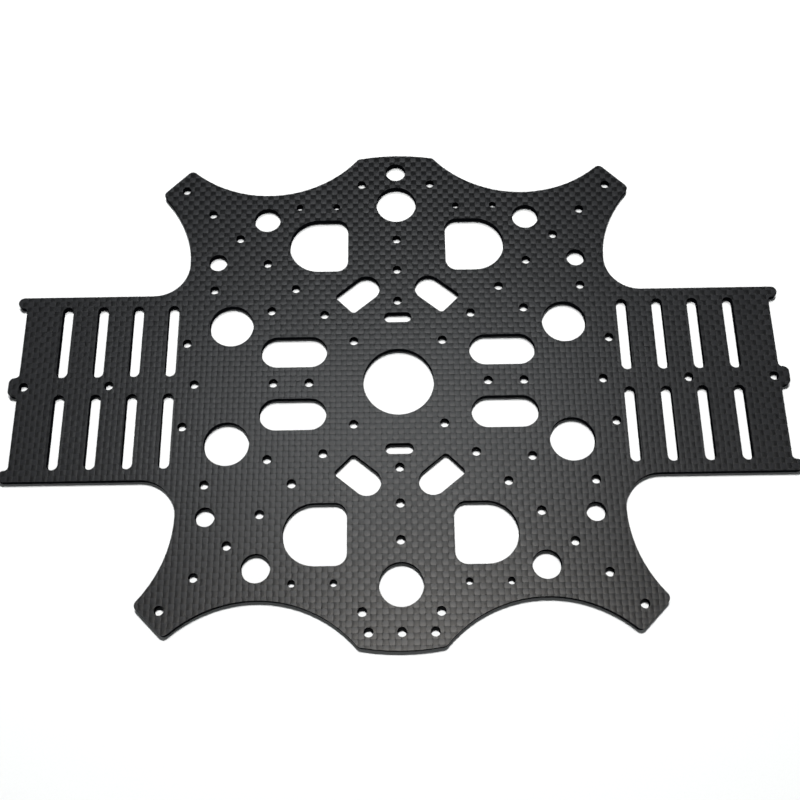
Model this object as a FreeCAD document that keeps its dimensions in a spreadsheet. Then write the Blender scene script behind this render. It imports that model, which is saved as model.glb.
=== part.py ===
import FreeCAD, Part
import math
import os
import Sketcher

# Centre plate of a hexacopter frame: one flat plate of cured carbon-fibre laminate, cut to
# shape with all its openings.  Two wings run along X, four arm tips along the diagonals, and
# two noses along Y.  Frame: X along the wings, +Z up, origin at the middle of the underside.
# Every outline is drawn for the quarter with X and Y positive and mirrored to the other three.

Vector = FreeCAD.Vector

SIZES = {
    "thickness": 2.5,
    # outline: wing end with its hooks and middle tab
    "half_length": 137.8,
    "end_edge": 134.35,
    "wing_half_width": 34.9,
    "tab_half_width": 3.5,
    "tab_corner": 2.0,
    "hook_radius": 2.05,
    # outline: sweep from the wing to the arm tip, and the tip
    "root_centre_x": 88.7,
    "root_radius": 12.6,
    "shoulder_radius": 43.1,
    "tip_distance": 117.2,
    "tip_corner": 2.0,
    # outline: waist between the arm tip and the nose, and the nose
    "waist_centre_x": 47.65,
    "waist_centre_y": 120.25,
    "waist_radius": 43.8,
    "nose_corner": 1.5,
    "nose_radius": 80.0,
    "nose_height": 93.25,
    # large openings
    "centre_bore_radius": 12.5,
    "window_centre_x": 28.87,
    "window_centre_y": 54.65,
    "window_radius": 10.77,
    "window_flat_x": 18.0,
    "window_corner": 4.2,
    "oval_centre_x": 37.05,
    "oval_centre_y": 11.8,
    "oval_half_run": 5.93,
    "oval_radius": 5.85,
    "bullet_centre_x": 11.3,
    "bullet_centre_y": 36.72,
    "bullet_radius": 4.93,
    "bullet_slope": 39.4,
    "bullet_end_distance": 7.46,
    "bullet_corner": 1.5,
    "wing_circle_x": 59.8,
    "wing_circle_y": 22.35,
    "wing_circle_radius": 7.9,
    "nose_circle_y": 71.8,
    "nose_circle_radius": 7.43,
    "tip_circle_x": 48.2,
    "tip_circle_y": 65.87,
    "tip_circle_radius": 4.9,
    "shoulder_circle_x": 65.85,
    "shoulder_circle_y": 48.2,
    "shoulder_circle_radius": 3.35,
    "rear_circle_y": 85.9,
    "rear_circle_radius": 3.72,
    # strap slots on the wings, and the two short slots beside the centre bore
    "strap_first_x": 81.0,
    "strap_pitch": 12.79,
    "strap_centre_y": 17.05,
    "strap_half_run": 11.85,
    "strap_radius": 1.95,
    "short_slot_y": 24.95,
    "short_slot_half_run": 2.95,
    "short_slot_radius": 1.95,
    # M3 clearance holes
    "screw_radius": 1.6,
    "arm_hole_first": 15.8,
    "arm_hole_step": 10.577,
    "oval_hole_x": 45.57,
    "oval_hole_y": 28.15,
    "root_hole_x": 66.71,
    "root_hole_y": 36.92,
    "wing_hole_x": 75.48,
    "wing_hole_y": 15.82,
    "cross_hole_first": 31.6,
    "cross_hole_step": 12.64,
    "wing_line_first": 72.1,
    "wing_line_step": 30.15,
    "nose_hole_x": 12.91,
    "nose_hole_y": 80.65,
    "front_hole_x": 10.86,
    "front_hole_y": 87.25,
    # small M2.5 clearance holes
    "small_radius": 1.25,
    "small_inner_x": 22.37,
    "small_outer_x": 36.23,
    "small_hole_y": 71.1,
}

ORIGIN = (-1, 1)
X_AXIS = -1
Y_AXIS = -2
START = 1
END = 2
CENTRE = 3
ARM_HOLES = 7
STRAP_SLOTS = 4


def make_sheet(doc):
    """Write every driving dimension as a plain number with an alias."""
    sheet = doc.addObject("Spreadsheet::Sheet", "sizes")
    for row, (alias, value) in enumerate(SIZES.items(), start=1):
        sheet.set("A%d" % row, alias.replace("_", " "))
        sheet.set("B%d" % row, str(value))
        sheet.setAlias("B%d" % row, alias)
    doc.recompute()
    return sheet


def new_sketch(body, name):
    """An empty sketch on the body's own XY plane, which is the underside of the plate."""
    sketch = body.newObject("Sketcher::SketchObject", name)
    plane = [feature for feature in body.Origin.OriginFeatures if feature.Role == "XY_Plane"][0]
    sketch.AttachmentSupport = [(plane, "")]
    sketch.MapMode = "FlatFace"
    return sketch


def bind(sketch, expression, kind, *values):
    """Add a dimension and tie it to the sheet."""
    index = sketch.addConstraint(Sketcher.Constraint(kind, *values))
    sketch.setExpression("Constraints[%d]" % index, expression)


def place(sketch, point, x, y):
    """Fix a point by its two distances from the origin; a minus sign picks the other side."""
    drawn = sketch.getPoint(*point)
    for kind, axis, now, expression in (("DistanceX", Y_AXIS, drawn.x, x), ("DistanceY", X_AXIS, drawn.y, y)):
        if expression is None:
            sketch.addConstraint(Sketcher.Constraint("PointOnObject", *point, axis))
        elif expression.startswith("-"):
            bind(sketch, expression[1:], kind, *point, *ORIGIN, abs(now))
        else:
            bind(sketch, expression, kind, *ORIGIN, *point, abs(now))


def arc(centre, radius, start, end):
    """An arc, anticlockwise from start to end in degrees."""
    circle = Part.Circle(centre, Vector(0, 0, 1), radius)
    return Part.ArcOfCircle(circle, math.radians(start), math.radians(end))


def heading(origin, target):
    """Direction from one point to another, in degrees."""
    return math.degrees(math.atan2(target.y - origin.y, target.x - origin.x))


def at(centre, radius, angle):
    """The point at a radius and an angle in degrees from a centre."""
    return centre + Vector(math.cos(math.radians(angle)), math.sin(math.radians(angle)), 0) * radius


def draw_loop(sketch, steps):
    """Draw a closed loop.

    Each step is a curve, whether the loop runs along it backwards, and whether the next
    curve follows on smoothly.  Returns the curve numbers.
    """
    numbers = [sketch.addGeometry(curve, False) for curve, _, _ in steps]
    for place_in_loop, (_, backwards, smooth) in enumerate(steps):
        following = (place_in_loop + 1) % len(steps)
        leave = START if backwards else END
        enter = END if steps[following][1] else START
        kind = "Tangent" if smooth else "Coincident"
        ends = (numbers[place_in_loop], leave, numbers[following], enter)
        sketch.addConstraint(Sketcher.Constraint(kind, *ends))
    return numbers


def draw_circles(sketch, radius, places):
    """Circles of one radius, each placed by a pair of expressions."""
    first = None
    for x, y in places:
        number = sketch.addGeometry(Part.Circle(Vector(20, 20, 0), Vector(0, 0, 1), 2.0), False)
        place(sketch, (number, CENTRE), x, y)
        if first is None:
            bind(sketch, radius, "Radius", number, 2.0)
            first = number
        else:
            sketch.addConstraint(Sketcher.Constraint("Equal", first, number))


def draw_slot(sketch, radius, half_run, middle, upright, signs=(1, 1)):
    """A round-ended slot; middle holds the aliases of its centre, or None on an axis."""
    reach = SIZES[half_run]
    width = SIZES[radius]
    x, y = [0.0 if alias is None else SIZES[alias] * sign for alias, sign in zip(middle, signs)]
    along = Vector(0, reach, 0) if upright else Vector(reach, 0, 0)
    side = Vector(width, 0, 0) if upright else Vector(0, -width, 0)
    centre = Vector(x, y, 0)
    turn = 0 if upright else -90
    steps = [
        (Part.LineSegment(centre - along + side, centre + along + side), False, True),
        (arc(centre + along, width, turn, turn + 180), False, True),
        (Part.LineSegment(centre + along - side, centre - along - side), False, True),
        (arc(centre - along, width, turn + 180, turn + 360), False, True),
    ]
    right, far, _, near = draw_loop(sketch, steps)
    bind(sketch, "sizes." + radius, "Radius", far, width)
    sketch.addConstraint(Sketcher.Constraint("Equal", far, near))
    sketch.addConstraint(Sketcher.Constraint("Vertical" if upright else "Horizontal", right))
    spans = []
    for axis, alias in enumerate(middle):
        run = "sizes." + half_run if upright == bool(axis) else None
        minus = "-" if signs[axis] < 0 else ""
        if alias is None:
            spans.append(run)
        elif run is None:
            spans.append(minus + "sizes." + alias)
        else:
            spans.append("%ssizes.%s %s %s" % (minus, alias, "-" if minus else "+", run))
    place(sketch, (far, CENTRE), *spans)
    kind = "DistanceY" if upright else "DistanceX"
    bind(sketch, "2 * sizes." + half_run, kind, near, CENTRE, far, CENTRE, 2 * reach)


def line_and_circle(total, centre, distance, side):
    """Point with X + Y equal to total, at a distance from centre, on one side along the line."""
    foot = (total - centre.x - centre.y) / 2
    along = math.sqrt(distance ** 2 / 2 - foot ** 2)
    return Vector(centre.x + foot + side * along, centre.y + foot - side * along, 0)


def circle_and_circle(first, first_distance, second, second_distance):
    """Point at two distances from two centres, on the left of the line that joins them."""
    gap = (second - first).Length
    along = (first_distance ** 2 - second_distance ** 2 + gap ** 2) / (2 * gap)
    across = math.sqrt(first_distance ** 2 - along ** 2)
    return at(at(first, along, heading(first, second)), across, heading(first, second) + 90)


def draw_quarter_outline(sketch):
    """The plate's outer edge in the first quadrant, anticlockwise from the centre."""
    size = SIZES
    hook = size["hook_radius"]
    tab = size["tab_corner"]
    step = size["half_length"] - size["end_edge"]
    wing = size["wing_half_width"]
    tab_centre = Vector(size["half_length"] - tab, size["tab_half_width"] - tab, 0)
    tab_fillet = tab_centre + Vector(0, step, 0)
    hook_centre = Vector(size["half_length"] - hook, wing - hook, 0)
    hook_fillet = hook_centre - Vector(0, step, 0)
    root = Vector(size["root_centre_x"], wing + size["root_radius"], 0)
    shoulder = root + Vector(size["shoulder_radius"] - size["root_radius"], 0, 0)
    waist = Vector(size["waist_centre_x"], size["waist_centre_y"], 0)
    nose = Vector(0, size["nose_height"] - size["nose_radius"], 0)
    corner = size["tip_corner"]
    total = (size["tip_distance"] - corner) * math.sqrt(2)
    lower = line_and_circle(total, shoulder, size["shoulder_radius"] + corner, -1)
    upper = line_and_circle(total, waist, size["waist_radius"] + corner, 1)
    edge = size["nose_corner"]
    nose_corner = circle_and_circle(nose, size["nose_radius"] - edge, waist, size["waist_radius"] + edge)
    steps = [
        (Part.LineSegment(Vector(0, 0, 0), Vector(size["half_length"], 0, 0)), False, False),
        (Part.LineSegment(Vector(size["half_length"], 0, 0), at(tab_centre, tab, 0)), False, True),
        (arc(tab_centre, tab, 0, 90), False, True),
        (arc(tab_fillet, step - tab, 180, 270), True, True),
        (Part.LineSegment(at(tab_fillet, step - tab, 180), at(hook_fillet, step - hook, 180)), False, True),
        (arc(hook_fillet, step - hook, 90, 180), True, True),
        (arc(hook_centre, hook, -90, 90), False, True),
        (Part.LineSegment(at(hook_centre, hook, 90), at(root, size["root_radius"], -90)), False, True),
        (arc(root, size["root_radius"], 180, 270), True, True),
        (arc(shoulder, size["shoulder_radius"], heading(shoulder, lower), 180), True, True),
        (arc(lower, corner, heading(lower, shoulder), 45), False, True),
        (Part.LineSegment(at(lower, corner, 45), at(upper, corner, 45)), False, True),
        (arc(upper, corner, 45, heading(upper, waist)), False, True),
        (arc(waist, size["waist_radius"], heading(waist, nose_corner), heading(waist, upper)), True, True),
        (arc(nose_corner, edge, heading(nose_corner, waist), heading(nose, nose_corner)), False, True),
        (arc(nose, size["nose_radius"], heading(nose, nose_corner), 90), False, False),
        (Part.LineSegment(Vector(0, size["nose_height"], 0), Vector(0, 0, 0)), False, False),
    ]
    numbers = draw_loop(sketch, steps)
    constrain_quarter_outline(sketch, numbers)


def constrain_quarter_outline(sketch, numbers):
    """Tie the outline to the sheet."""
    (base, tab_end, tab_corner, _, end, _, hook, wing, root, shoulder, lower, tip, upper, waist,
     nose_corner, nose, axis) = numbers
    free = [
        ("Coincident", base, START, *ORIGIN),
        ("Horizontal", base),
        ("Vertical", tab_end),
        ("Vertical", tab_corner, CENTRE, tab_corner, END),
        ("Vertical", end),
        ("Vertical", hook, CENTRE, hook, START),
        ("Horizontal", wing),
        ("Horizontal", root, CENTRE, root, START),
        ("Equal", lower, upper),
        ("PointOnObject", nose, CENTRE, Y_AXIS),
        ("Vertical", axis),
        ("Angle", tip, math.radians(135)),
    ]
    for kind, *values in free:
        sketch.addConstraint(Sketcher.Constraint(kind, *values))
    place_x = [
        (tab_end, START, "half_length"),
        (end, START, "end_edge"),
        (root, CENTRE, "root_centre_x"),
        (waist, CENTRE, "waist_centre_x"),
    ]
    for number, point, alias in place_x:
        bind(sketch, "sizes." + alias, "DistanceX", *ORIGIN, number, point, SIZES[alias])
    hook_x = SIZES["half_length"] - SIZES["hook_radius"]
    bind(sketch, "sizes.half_length - sizes.hook_radius", "DistanceX", *ORIGIN, hook, CENTRE, hook_x)
    place_y = [
        (tab_corner, END, "tab_half_width"),
        (wing, START, "wing_half_width"),
        (waist, CENTRE, "waist_centre_y"),
        (axis, START, "nose_height"),
    ]
    for number, point, alias in place_y:
        bind(sketch, "sizes." + alias, "DistanceY", *ORIGIN, number, point, SIZES[alias])
    radii = [
        (tab_corner, "tab_corner"),
        (hook, "hook_radius"),
        (root, "root_radius"),
        (shoulder, "shoulder_radius"),
        (lower, "tip_corner"),
        (waist, "waist_radius"),
        (nose_corner, "nose_corner"),
        (nose, "nose_radius"),
    ]
    for number, alias in radii:
        bind(sketch, "sizes." + alias, "Radius", number, SIZES[alias])
    bind(sketch, "sizes.tip_distance", "Distance", *ORIGIN, tip, SIZES["tip_distance"])


def draw_window(sketch):
    """D-shaped window: flat towards the Y axis, round on the outside."""
    size = SIZES
    corner = size["window_corner"]
    centre = Vector(size["window_centre_x"], size["window_centre_y"], 0)
    rise = Vector(0, size["window_radius"] - corner, 0)
    inner = Vector(size["window_flat_x"] + corner, size["window_centre_y"], 0)
    steps = [
        (arc(centre, size["window_radius"], -90, 90), False, True),
        (Part.LineSegment(at(centre, size["window_radius"], 90), at(inner + rise, corner, 90)), False, True),
        (arc(inner + rise, corner, 90, 180), False, True),
        (Part.LineSegment(at(inner + rise, corner, 180), at(inner - rise, corner, 180)), False, True),
        (arc(inner - rise, corner, 180, 270), False, True),
        (Part.LineSegment(at(inner - rise, corner, -90), at(centre, size["window_radius"], -90)), False, True),
    ]
    bow, top, upper, flat, lower, _ = draw_loop(sketch, steps)
    bind(sketch, "sizes.window_radius", "Radius", bow, size["window_radius"])
    bind(sketch, "sizes.window_corner", "Radius", upper, corner)
    sketch.addConstraint(Sketcher.Constraint("Equal", upper, lower))
    sketch.addConstraint(Sketcher.Constraint("Horizontal", top))
    sketch.addConstraint(Sketcher.Constraint("Vertical", flat))
    sketch.addConstraint(Sketcher.Constraint("Vertical", bow, CENTRE, bow, START))
    place(sketch, (bow, CENTRE), "sizes.window_centre_x", "sizes.window_centre_y")
    bind(sketch, "sizes.window_flat_x", "DistanceX", *ORIGIN, flat, START, size["window_flat_x"])


def draw_bullet(sketch):
    """Bullet-shaped window: its blunt end runs beside the arm holes, at 45 degrees."""
    size = SIZES
    slope = -size["bullet_slope"]
    radius = size["bullet_radius"]
    corner = size["bullet_corner"]
    centre = Vector(size["bullet_centre_x"], size["bullet_centre_y"], 0)
    axis = at(Vector(0, 0, 0), 1, slope)
    across = at(Vector(0, 0, 0), 1, slope + 90)
    blunt = at(Vector(0, 0, 0), 1, 135)
    inset = size["bullet_end_distance"] + corner
    low = centre - across * (radius - corner)
    high = centre + across * (radius - corner)
    low = low + axis * ((inset - low.dot(blunt)) / axis.dot(blunt))
    high = high + axis * ((inset - high.dot(blunt)) / axis.dot(blunt))
    steps = [
        (Part.LineSegment(centre - across * radius, low - across * corner), False, True),
        (arc(low, corner, slope - 90, -45), False, True),
        (Part.LineSegment(at(low, corner, -45), at(high, corner, -45)), False, True),
        (arc(high, corner, -45, slope + 90), False, True),
        (Part.LineSegment(high + across * corner, centre + across * radius), False, True),
        (arc(centre, radius, slope + 90, slope + 270), False, True),
    ]
    side, lower, end, upper, other, nose = draw_loop(sketch, steps)
    bind(sketch, "sizes.bullet_radius", "Radius", nose, radius)
    bind(sketch, "sizes.bullet_corner", "Radius", lower, corner)
    sketch.addConstraint(Sketcher.Constraint("Equal", lower, upper))
    sketch.addConstraint(Sketcher.Constraint("Parallel", side, other))
    sketch.addConstraint(Sketcher.Constraint("Angle", end, math.radians(45)))
    bind(sketch, "-1 deg * sizes.bullet_slope", "Angle", side, math.radians(slope))
    place(sketch, (nose, CENTRE), "sizes.bullet_centre_x", "sizes.bullet_centre_y")
    distance = size["bullet_end_distance"]
    bind(sketch, "sizes.bullet_end_distance", "Distance", *ORIGIN, end, distance)


def pocket(body, name, draw):
    """Cut what draw puts in a new sketch right through the plate, and prove that it cut."""
    before = body.Shape.Volume
    sketch = new_sketch(body, name + "_sketch")
    draw(sketch)
    body.Document.recompute()
    cut = body.newObject("PartDesign::Pocket", name)
    cut.Profile = sketch
    cut.Type = "ThroughAll"
    cut.Reversed = True
    body.Document.recompute()
    if not cut.Shape.Volume < before - 1.0:
        raise ValueError(name + " removed nothing")
    return cut


def quarter_circles(radius, *places):
    """A drawing function for circles named by the aliases of their centres."""
    pairs = [("sizes." + x, "sizes." + y) for x, y in places]
    return lambda sketch: draw_circles(sketch, "sizes." + radius, pairs)


def draw_arm_holes(sketch):
    """The row of arm screws, evenly spaced along the diagonal."""
    row = ["sizes.arm_hole_first + %d * sizes.arm_hole_step" % n for n in range(ARM_HOLES)]
    draw_circles(sketch, "sizes.screw_radius", [(along, along) for along in row])


def draw_strap_slot(sketch):
    """The strap slot nearest the middle; a pattern repeats it along the wing."""
    middle = ("strap_first_x", "strap_centre_y")
    draw_slot(sketch, "strap_radius", "strap_half_run", middle, upright=True)


def draw_oval(sketch):
    """Lightening oval beside the centre bore."""
    middle = ("oval_centre_x", "oval_centre_y")
    draw_slot(sketch, "oval_radius", "oval_half_run", middle, upright=False)


def draw_short_slots(sketch):
    """The two short slots above and below the centre bore."""
    for side in (1, -1):
        middle = (None, "short_slot_y")
        draw_slot(sketch, "short_slot_radius", "short_slot_half_run", middle, False, (1, side))


def draw_axis_screws(sketch):
    """Screw holes on the two centre lines, and those of the front nose."""
    along_y = ["sizes.cross_hole_first + %d * sizes.cross_hole_step" % n for n in range(3)]
    along_x = along_y[:2] + ["sizes.wing_line_first + %d * sizes.wing_line_step" % n for n in range(3)]
    places = []
    for minus in ("", "-"):
        places += [(None, minus + y) for y in along_y]
        places += [(minus + x, None) for x in along_x]
        places.append((minus + "sizes.front_hole_x", "-sizes.front_hole_y"))
    places.append((None, "-sizes.front_hole_y"))
    draw_circles(sketch, "sizes.screw_radius", places)


def mirrored_pair(body, sketch):
    """The two reflections that turn a quarter into the whole plate."""
    pair = []
    for name, axis in (("across_y", "V_Axis"), ("across_x", "H_Axis")):
        mirror = body.newObject("PartDesign::Mirrored", sketch.Name + "_" + name)
        mirror.MirrorPlane = (sketch, [axis])
        pair.append(mirror)
    return pair


def pattern(body, name, originals, transformations):
    """Repeat features by a list of patterns, and make the result the body's tip."""
    multi = body.newObject("PartDesign::MultiTransform", name)
    multi.Originals = originals
    multi.Transformations = transformations
    body.Tip = multi
    body.Document.recompute()
    return multi


def make_blank(body):
    """The plate's outline, padded to its thickness."""
    sketch = new_sketch(body, "quarter_outline")
    draw_quarter_outline(sketch)
    body.Document.recompute()
    pad = body.newObject("PartDesign::Pad", "quarter_blank")
    pad.Profile = sketch
    pad.setExpression("Length", "sizes.thickness")
    body.Document.recompute()
    return pattern(body, "whole_blank", [pad], mirrored_pair(body, sketch))


def cut_quarters(body):
    """Everything that repeats in all four quarters."""
    cuts = [
        pocket(body, "window", draw_window),
        pocket(body, "bullet", draw_bullet),
        pocket(body, "oval", draw_oval),
        pocket(body, "wing_circle", quarter_circles("wing_circle_radius", ("wing_circle_x", "wing_circle_y"))),
        pocket(body, "tip_circle", quarter_circles("tip_circle_radius", ("tip_circle_x", "tip_circle_y"))),
        pocket(body, "shoulder_circle",
               quarter_circles("shoulder_circle_radius", ("shoulder_circle_x", "shoulder_circle_y"))),
        pocket(body, "arm_holes", draw_arm_holes),
        pocket(body, "outrigger_holes",
               quarter_circles("screw_radius", ("oval_hole_x", "oval_hole_y"), ("root_hole_x", "root_hole_y"),
                               ("wing_hole_x", "wing_hole_y"), ("nose_hole_x", "nose_hole_y"))),
        pocket(body, "small_holes",
               quarter_circles("small_radius", ("small_inner_x", "small_hole_y"),
                               ("small_outer_x", "small_hole_y"))),
    ]
    pattern(body, "quarter_cuts", cuts, mirrored_pair(body, cuts[0].Profile[0]))


def cut_strap_slots(body):
    """Four strap slots in a row, in all four quarters."""
    slot = pocket(body, "strap_slot", draw_strap_slot)
    sketch = slot.Profile[0]
    row = body.newObject("PartDesign::LinearPattern", "strap_row")
    row.Direction = (sketch, ["H_Axis"])
    row.setExpression("Length", "%d * sizes.strap_pitch" % (STRAP_SLOTS - 1))
    row.Occurrences = STRAP_SLOTS
    pattern(body, "strap_slots", [slot], [row] + mirrored_pair(body, sketch))


def cut_centre_lines(body):
    """Everything that lies on a centre line or at one nose only."""
    circles = [
        ("centre_bore", "sizes.centre_bore_radius", [(None, None)]),
        ("nose_circles", "sizes.nose_circle_radius",
         [(None, "sizes.nose_circle_y"), (None, "-sizes.nose_circle_y")]),
        ("rear_circle", "sizes.rear_circle_radius", [(None, "sizes.rear_circle_y")]),
    ]
    for name, radius, places in circles:
        pocket(body, name, lambda sketch: draw_circles(sketch, radius, places))
    pocket(body, "short_slots", draw_short_slots)
    pocket(body, "axis_screws", draw_axis_screws)


def make_centre_plate(doc):
    """The whole plate as one body."""
    body = doc.addObject("PartDesign::Body", "centre_plate")
    body.Label = "centre_plate"
    body.Placement = FreeCAD.Placement(Vector(0, 0, 0), FreeCAD.Rotation())
    make_blank(body)
    cut_quarters(body)
    cut_strap_slots(body)
    cut_centre_lines(body)
    return body


def check(doc, parts):
    """Stop if any feature failed, any sketch is loose, or any sub-part isn't a valid solid."""
    for item in doc.Objects:
        if "Invalid" in item.State or "Error" in item.State:
            raise ValueError("%s failed: %s" % (item.Name, item.State))
        if item.TypeId == "Sketcher::SketchObject" and not item.FullyConstrained:
            raise ValueError(item.Name + " is not fully constrained")
    for part in parts:
        shape = part.Shape
        if shape.isNull() or not shape.isValid() or len(shape.Solids) != 1:
            raise ValueError(part.Label + " is not one valid solid")


def main():
    doc = FreeCAD.newDocument("hexacopter_centre_plate")
    make_sheet(doc)
    parts = [make_centre_plate(doc)]
    doc.recompute()
    check(doc, parts)
    os.makedirs("parts", exist_ok=True)
    for part in parts:
        part.Shape.exportStep("parts/%s.step" % part.Label)
        box = part.Shape.BoundBox
        print(part.Label, "volume %.0f mm3" % part.Shape.Volume, "faces", len(part.Shape.Faces))
        print("box %.2f x %.2f x %.2f mm" % (box.XLength, box.YLength, box.ZLength))


main()
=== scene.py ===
import math

import bpy
from mathutils import Matrix, Vector


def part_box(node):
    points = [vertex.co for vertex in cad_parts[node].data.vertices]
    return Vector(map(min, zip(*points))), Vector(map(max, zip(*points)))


# The flat centre plate of a hexacopter frame, cut from woven carbon-fibre laminate and lying on a
# white surface. Lengths are in metres, angles in degrees, noise scales in features per metre.

MM = 0.001

# camera: the point it looks at on the plate's upper face, its direction from there, and its lens
AIM = Vector((0.4, -7.1, 0.0)) * MM
CAMERA_DISTANCE = 367.6 * MM
CAMERA_ELEVATION = 69.05
CAMERA_AZIMUTH = -0.40
CAMERA_ROLL = -1.27
FOCAL_LENGTH = 47.25
SENSOR_WIDTH = 36.0
CLIP_START = 0.01

# plain weave of 3K tows: one tow every two millimetres, both ways
TOW = 2.0 * MM
WEAVE_START = Vector((-0.28, -1.56, 0.0)) * MM
WEAVE_SKEW = 0.006
WANDER = 0.35 * MM
WANDER_SCALE = 55.0

# relief of the weave: the over-and-under wave, the rounded top of a tow and the fibre lines are
# shares of RELIEF, and the colour of a gap fades out over GAP_FADE of height difference
RELIEF = 0.08 * MM
UNDULATION = 0.55
CROWN = 0.35
CROWN_POWER = 0.5
FIBRE_RELIEF = 0.05
GAP_FADE = 0.36

# fibre lines: fineness across a tow, share of it along the tow, and a noise slice for each direction
FIBRE_SCALE = 9000.0
FIBRE_ALONG = 0.06
X_FIBRE_SLICE = 0.0
Y_FIBRE_SLICE = 7.0

# tone: the shares of the whole tow and of the single float, and the shift that keeps columns
# from repeating the rows
TOW_SHARE = 0.6
FLOAT_SHARE = 0.4
COLUMN_SHIFT = 500.0

# laminate: darkest and lightest tow in each direction, where the tows along y are painted several
# times lighter than the tows along x as painted sheen; gaps, darker partly for their resin and partly
# as painted shade; and fine roughness differences
X_TOW_SHADE_COLORS = ((0.0012, 0.0013, 0.0016, 1), (0.0024, 0.0026, 0.0031, 1))
Y_TOW_SHEEN_COLORS = ((0.0095, 0.0099, 0.0113, 1), (0.0138, 0.0143, 0.0160, 1))
GAP_RESIN_AND_SHADE_COLOR = (0.0020, 0.0021, 0.0025, 1)
X_TOW_ROUGHNESS = 0.27
Y_TOW_ROUGHNESS = 0.30
GAP_ROUGHNESS = 0.75
FIBRE_ROUGHNESS = 0.05
CLOUD_ROUGHNESS = 0.04
CLOUD_SCALE = 40.0
LAMINATE_IOR = 2.0
LAMINATE_ANISOTROPY = 0.42

# cut walls: the vertical part of the normal is below WALL_NORMAL on a wall, above FACE_NORMAL on a
# face; the plies show as faint lines, broken up by a noise that is finer through the thickness
WALL_NORMAL = 0.93
FACE_NORMAL = 0.98
PLY = 0.21 * MM
PLY_NOISE_SCALE = 900.0
PLY_NOISE_SQUEEZE = (1.0, 1.0, 9.0)
PLY_GROOVE = 0.04 * MM
PLY_GROOVE_STRENGTH = 0.6
WALL_COLORS = ((0.0020, 0.0022, 0.0030, 1), (0.0090, 0.0095, 0.0115, 1))
WALL_ROUGHNESS = (0.55, 0.80)

# edges sharper than SHARP_EDGE are very slightly rounded
WELD_DISTANCE = 0.001 * MM
EDGE_BREAK = 0.18 * MM
EDGE_SEGMENTS = 2
SHARP_EDGE = 60

# white paper under the plate
FLOOR_SIDE = 6.0
FLOOR_COLORS = ((0.78, 0.79, 0.785, 1), (0.82, 0.825, 0.82, 1))
FLOOR_ROUGHNESS = 0.9
FLOOR_SPECULAR = 0.1
GRAIN_SCALE = 1500.0
GRAIN_DEPTH = 0.02 * MM
GRAIN_STRENGTH = 0.05

# two softboxes light the plate and the floor: place and sides in metres, power in watts
SOFTBOXES = {
    "low_softbox": ((0.00, 0.17, 0.60), (0.06, 0.06), 3.2),
    "high_softbox": ((0.00, 3.60, 7.60), (0.80, 0.80), 400.0),
}

# three panels give the satin sheen: place and sides in metres, power in watts, colour
PANELS = {
    "near_panel": ((0.06, -0.18, 0.80), (0.34, 0.28), 0.69, (1.0, 0.95, 0.88)),
    "middle_panel": ((0.02, -0.02, 0.80), (0.28, 0.20), 0.35, (1.0, 0.96, 0.91)),
    "far_panel": ((-0.02, 0.26, 0.80), (0.42, 0.20), 0.43, (0.94, 0.98, 1.0)),
}

# the surround, pale at the horizon and dim overhead; heights are sines of the elevation
SURROUND_COLOR = (0.95, 0.98, 1.0, 1)
HORIZON_STRENGTH = 0.60
OVERHEAD_STRENGTH = 0.03
HORIZON_TOP = 0.20
OVERHEAD_START = 0.66

# a Mix node's inputs (factor, first and second value) and output, for numbers and for colours
MIX_INPUTS = {"FLOAT": (0, 2, 3), "RGBA": (0, 6, 7)}
MIX_OUTPUT = {"FLOAT": 0, "RGBA": 2}

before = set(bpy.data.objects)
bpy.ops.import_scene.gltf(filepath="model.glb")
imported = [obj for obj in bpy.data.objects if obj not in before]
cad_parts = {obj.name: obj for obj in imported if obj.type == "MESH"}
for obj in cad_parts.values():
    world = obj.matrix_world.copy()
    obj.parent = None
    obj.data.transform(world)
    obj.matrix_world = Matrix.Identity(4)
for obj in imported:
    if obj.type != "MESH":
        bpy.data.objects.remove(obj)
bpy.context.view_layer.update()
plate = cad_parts["centre_plate"]
plate_low, plate_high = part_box("centre_plate")


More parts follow.
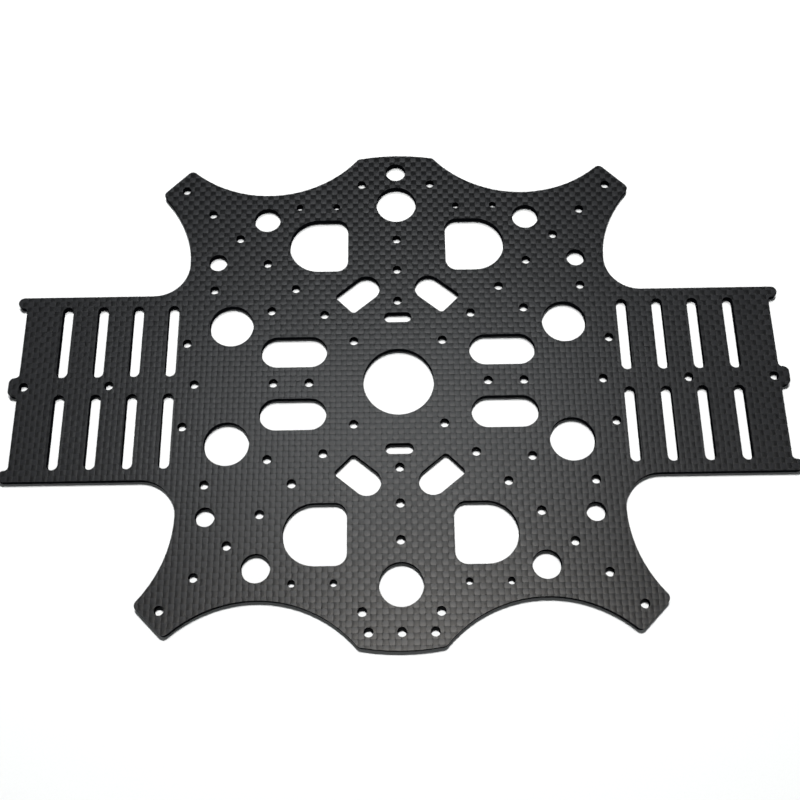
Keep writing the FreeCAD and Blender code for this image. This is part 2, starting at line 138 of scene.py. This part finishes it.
class Graph:
    """A new material, and short names for building its nodes."""

    def __init__(self, name):
        self.material = bpy.data.materials.new(name)
        self.material.use_nodes = True
        self.tree = self.material.node_tree
        self.tree.nodes.clear()

    def add(self, kind, inputs, **settings):
        """A node with its settings made and its inputs linked or set."""
        node = self.tree.nodes.new(kind)
        for key, value in settings.items():
            setattr(node, key, value)
        for key, value in inputs.items():
            if isinstance(value, bpy.types.NodeSocket):
                self.tree.links.new(value, node.inputs[key])
            else:
                node.inputs[key].default_value = value
        return node

    def math(self, operation, *values):
        inputs = dict(enumerate(values))
        return self.add("ShaderNodeMath", inputs, operation=operation).outputs[0]

    def vector(self, operation, *values):
        inputs = dict(enumerate(values))
        return self.add("ShaderNodeVectorMath", inputs, operation=operation).outputs[0]

    def remap(self, value, low, high):
        """A smooth rise from 0 at low to 1 at high."""
        inputs = {"Value": value, "From Min": low, "From Max": high}
        return self.add("ShaderNodeMapRange", inputs, interpolation_type="SMOOTHSTEP").outputs[0]

    def mix(self, factor, first, second, kind="FLOAT"):
        inputs = dict(zip(MIX_INPUTS[kind], (factor, first, second)))
        return self.add("ShaderNodeMix", inputs, data_type=kind).outputs[MIX_OUTPUT[kind]]

    def mix_color(self, factor, first, second):
        return self.mix(factor, first, second, "RGBA")

    def noise(self, vector, scale, detail, output="Fac"):
        inputs = {"Vector": vector, "Scale": scale, "Detail": detail}
        return self.add("ShaderNodeTexNoise", inputs).outputs[output]

    def random(self, dimensions, **inputs):
        """A value from 0 to 1 that depends only on the inputs."""
        return self.add("ShaderNodeTexWhiteNoise", inputs, noise_dimensions=dimensions).outputs["Value"]

    def combine(self, x, y, z):
        return self.add("ShaderNodeCombineXYZ", {"X": x, "Y": y, "Z": z}).outputs[0]

    def split(self, vector):
        return self.add("ShaderNodeSeparateXYZ", {"Vector": vector}).outputs

    def place(self):
        """The point on the surface, in metres."""
        return self.add("ShaderNodeTexCoord", {}).outputs["Object"]

    def bump(self, height, strength, distance):
        inputs = {"Height": height, "Strength": strength, "Distance": distance}
        return self.add("ShaderNodeBump", inputs).outputs[0]

    def principled(self, inputs):
        return self.add("ShaderNodeBsdfPrincipled", inputs).outputs[0]

    def finish(self, surface):
        """Make this shader the material's surface."""
        self.add("ShaderNodeOutputMaterial", {"Surface": surface})
        return self.material


def weave(graph, position):
    """Plain weave: which tow is on top, its height, how far it stands above the other, tow numbers."""
    wander = graph.noise(position, WANDER_SCALE, 1.0, "Color")
    wander = graph.vector("SUBTRACT", wander, (0.5, 0.5, 0.5))
    wander = graph.vector("MULTIPLY", wander, (WANDER, WANDER, WANDER))
    place = graph.vector("SUBTRACT", graph.vector("ADD", position, wander), WEAVE_START)
    x, y, _ = graph.split(place)
    y = graph.math("ADD", y, graph.math("MULTIPLY", x, WEAVE_SKEW))
    across = graph.math("DIVIDE", x, TOW)
    along = graph.math("DIVIDE", y, TOW)

    wave_x = graph.math("SINE", graph.math("MULTIPLY", across, math.pi))
    wave_y = graph.math("SINE", graph.math("MULTIPLY", along, math.pi))
    rise_x = graph.math("ABSOLUTE", wave_x)
    rise_y = graph.math("ABSOLUTE", wave_y)
    side = graph.math("SIGN", graph.math("MULTIPLY", wave_x, wave_y))
    crown_x = graph.math("MULTIPLY", graph.math("POWER", rise_y, CROWN_POWER), CROWN)
    crown_y = graph.math("MULTIPLY", graph.math("POWER", rise_x, CROWN_POWER), CROWN)
    lift_x = graph.math("MULTIPLY", graph.math("MULTIPLY", side, rise_x), UNDULATION)
    lift_y = graph.math("MULTIPLY", graph.math("MULTIPLY", side, rise_y), -UNDULATION)
    height_x = graph.math("ADD", lift_x, crown_x)
    height_y = graph.math("ADD", lift_y, crown_y)

    runs_along_y = graph.math("GREATER_THAN", height_y, height_x)
    top = graph.math("MAXIMUM", height_x, height_y)
    above = graph.math("ABSOLUTE", graph.math("SUBTRACT", height_y, height_x))
    return runs_along_y, top, above, across, along


def fibre_lines(graph, position, runs_along_y):
    """Fine lines along each tow."""
    x, y, _ = graph.split(position)
    x_place = graph.combine(graph.math("MULTIPLY", x, FIBRE_ALONG), y, X_FIBRE_SLICE)
    y_place = graph.combine(x, graph.math("MULTIPLY", y, FIBRE_ALONG), Y_FIBRE_SLICE)
    x_lines = graph.noise(x_place, FIBRE_SCALE, 2.0)
    y_lines = graph.noise(y_place, FIBRE_SCALE, 2.0)
    return graph.mix(runs_along_y, x_lines, y_lines)


def tow_tone(graph, runs_along_y, across, along):
    """A small brightness difference from tow to tow, and from float to float."""
    column_number = graph.math("FLOOR", across)
    row_number = graph.math("FLOOR", along)
    row = graph.random("1D", W=row_number)
    column = graph.random("1D", W=graph.math("ADD", column_number, COLUMN_SHIFT))
    tow = graph.mix(runs_along_y, row, column)
    single = graph.random("2D", Vector=graph.combine(column_number, row_number, 0.0))
    tow = graph.math("MULTIPLY", tow, TOW_SHARE)
    single = graph.math("MULTIPLY", single, FLOAT_SHARE)
    return graph.math("ADD", tow, single)


def laminate_shader(graph, position):
    """Satin woven laminate, for the two faces."""
    runs_along_y, top, above, across, along = weave(graph, position)
    lines = fibre_lines(graph, position, runs_along_y)
    tone = tow_tone(graph, runs_along_y, across, along)
    cloud = graph.noise(position, CLOUD_SCALE, 3.0)
    body = graph.remap(above, 0.0, GAP_FADE)

    # painted sheen: the tows along y get far lighter colours than the tows along x; within each
    # direction the tone is random
    x_tow_shade = graph.mix_color(tone, *X_TOW_SHADE_COLORS)
    y_tow_sheen = graph.mix_color(tone, *Y_TOW_SHEEN_COLORS)
    color = graph.mix_color(runs_along_y, x_tow_shade, y_tow_sheen)
    # the gaps between tows are darker, partly for the resin there and partly as painted shade
    color = graph.mix_color(body, GAP_RESIN_AND_SHADE_COLOR, color)

    roughness = graph.mix(runs_along_y, X_TOW_ROUGHNESS, Y_TOW_ROUGHNESS)
    roughness = graph.math("ADD", roughness, graph.math("MULTIPLY", lines, FIBRE_ROUGHNESS))
    roughness = graph.mix(body, GAP_ROUGHNESS, roughness)
    roughness = graph.math("ADD", roughness, graph.math("MULTIPLY", cloud, CLOUD_ROUGHNESS))

    height = graph.math("ADD", top, graph.math("MULTIPLY", lines, FIBRE_RELIEF))
    runs_along_x = graph.math("SUBTRACT", 1.0, runs_along_y)
    return graph.principled({
        "Base Color": color,
        "Roughness": roughness,
        "IOR": LAMINATE_IOR,
        "Anisotropic": LAMINATE_ANISOTROPY,
        "Tangent": graph.combine(runs_along_x, runs_along_y, 0.0),
        "Normal": graph.bump(height, 1.0, RELIEF),
    })


def cut_edge_shader(graph, position):
    """Bare black walls with faint ply lines, left by the milling cutter."""
    height = graph.split(position)[2]
    ply = graph.math("SINE", graph.math("MULTIPLY", height, math.tau / PLY))
    squeezed = graph.vector("MULTIPLY", position, PLY_NOISE_SQUEEZE)
    noise = graph.noise(squeezed, PLY_NOISE_SCALE, 3.0)
    lines = graph.math("MULTIPLY", graph.remap(ply, -1.0, 1.0), noise)
    return graph.principled({
        "Base Color": graph.mix_color(lines, *WALL_COLORS),
        "Roughness": graph.mix(noise, *WALL_ROUGHNESS),
        "Specular IOR Level": 0.0,
        "Normal": graph.bump(lines, PLY_GROOVE_STRENGTH, PLY_GROOVE),
    })


def carbon_material():
    """Woven laminate on the faces, cut edges on the walls."""
    graph = Graph("carbon_laminate")
    position = graph.place()
    normal = graph.add("ShaderNodeNewGeometry", {}).outputs["True Normal"]
    upright = graph.math("ABSOLUTE", graph.split(normal)[2])
    face = graph.remap(upright, WALL_NORMAL, FACE_NORMAL)
    laminate = laminate_shader(graph, position)
    cut_edge = cut_edge_shader(graph, position)
    surface = graph.add("ShaderNodeMixShader", {0: face, 1: cut_edge, 2: laminate})
    return graph.finish(surface.outputs[0])


def floor_material():
    """Bright white paper with a fine grain."""
    graph = Graph("white_paper")
    grain = graph.noise(graph.place(), GRAIN_SCALE, 4.0)
    return graph.finish(graph.principled({
        "Base Color": graph.mix_color(grain, *FLOOR_COLORS),
        "Roughness": FLOOR_ROUGHNESS,
        "Specular IOR Level": FLOOR_SPECULAR,
        "Normal": graph.bump(grain, GRAIN_STRENGTH, GRAIN_DEPTH),
    }))


def finish_plate():
    """Join the plate's corners, round its sharp edges very slightly, and give it the laminate."""
    weld = plate.modifiers.new("join_corners", "WELD")
    weld.merge_threshold = WELD_DISTANCE
    bevel = plate.modifiers.new("edge_break", "BEVEL")
    bevel.width = EDGE_BREAK
    bevel.segments = EDGE_SEGMENTS
    bevel.limit_method = "ANGLE"
    bevel.angle_limit = math.radians(SHARP_EDGE)
    for slot in plate.material_slots:
        slot.material = carbon_material()


def make_floor():
    """A plain white surface under the plate."""
    bpy.ops.mesh.primitive_plane_add(size=FLOOR_SIDE, location=(0, 0, plate_low.z))
    floor = bpy.context.object
    floor.name = "floor"
    floor.data.materials.append(floor_material())


def aim_from(place, target, roll=0.0):
    """World matrix of a camera or light at place that looks at target."""
    turn = (target - place).to_track_quat("-Z", "Y").to_matrix().to_4x4()
    return Matrix.Translation(place) @ turn @ Matrix.Rotation(math.radians(roll), 4, "Z")


def make_camera():
    """The camera, from its aim, direction and distance."""
    azimuth = math.radians(CAMERA_AZIMUTH)
    elevation = math.radians(CAMERA_ELEVATION)
    level = math.cos(elevation)
    back = Vector((-math.sin(azimuth) * level, -math.cos(azimuth) * level, math.sin(elevation)))
    aim = AIM + Vector((0, 0, plate_high.z))
    camera = bpy.data.objects.new("camera", bpy.data.cameras.new("camera"))
    bpy.context.scene.collection.objects.link(camera)
    camera.matrix_world = aim_from(aim + back * CAMERA_DISTANCE, aim, CAMERA_ROLL)
    camera.data.lens = FOCAL_LENGTH
    camera.data.sensor_width = SENSOR_WIDTH
    camera.data.clip_start = CLIP_START
    bpy.context.scene.camera = camera


def make_world():
    """The surround, fading from the horizon up, and a plain view of the colours."""
    world = bpy.data.worlds.new("surround")
    world.use_nodes = True
    tree = world.node_tree
    direction = tree.nodes.new("ShaderNodeTexCoord").outputs["Generated"]
    split = tree.nodes.new("ShaderNodeSeparateXYZ")
    tree.links.new(direction, split.inputs[0])
    fade = tree.nodes.new("ShaderNodeMapRange")
    fade.interpolation_type = "SMOOTHSTEP"
    fade.inputs["From Min"].default_value = HORIZON_TOP
    fade.inputs["From Max"].default_value = OVERHEAD_START
    fade.inputs["To Min"].default_value = HORIZON_STRENGTH
    fade.inputs["To Max"].default_value = OVERHEAD_STRENGTH
    tree.links.new(split.outputs["Z"], fade.inputs["Value"])
    background = tree.nodes["Background"]
    background.inputs["Color"].default_value = SURROUND_COLOR
    tree.links.new(fade.outputs[0], background.inputs["Strength"])
    bpy.context.scene.world = world
    bpy.context.scene.view_settings.view_transform = "Standard"


def make_light(name, place, sides, power, color=(1.0, 1.0, 1.0)):
    """A rectangular light aimed at the middle of the plate."""
    data = bpy.data.lights.new(name, "AREA")
    data.shape = "RECTANGLE"
    data.size, data.size_y = sides
    data.energy = power
    data.color = color
    light = bpy.data.objects.new(name, data)
    bpy.context.scene.collection.objects.link(light)
    light.matrix_world = aim_from(Vector(place), Vector((0, 0, 0)))
    light.visible_camera = False
    return light


def make_lights():
    """The softboxes give no highlight; the panels give only the highlight."""
    for name, (place, sides, power) in SOFTBOXES.items():
        make_light(name, place, sides, power).visible_glossy = False
    for name, (place, sides, power, color) in PANELS.items():
        make_light(name, place, sides, power, color).visible_diffuse = False


finish_plate()
make_floor()
make_camera()
make_world()
make_lights()
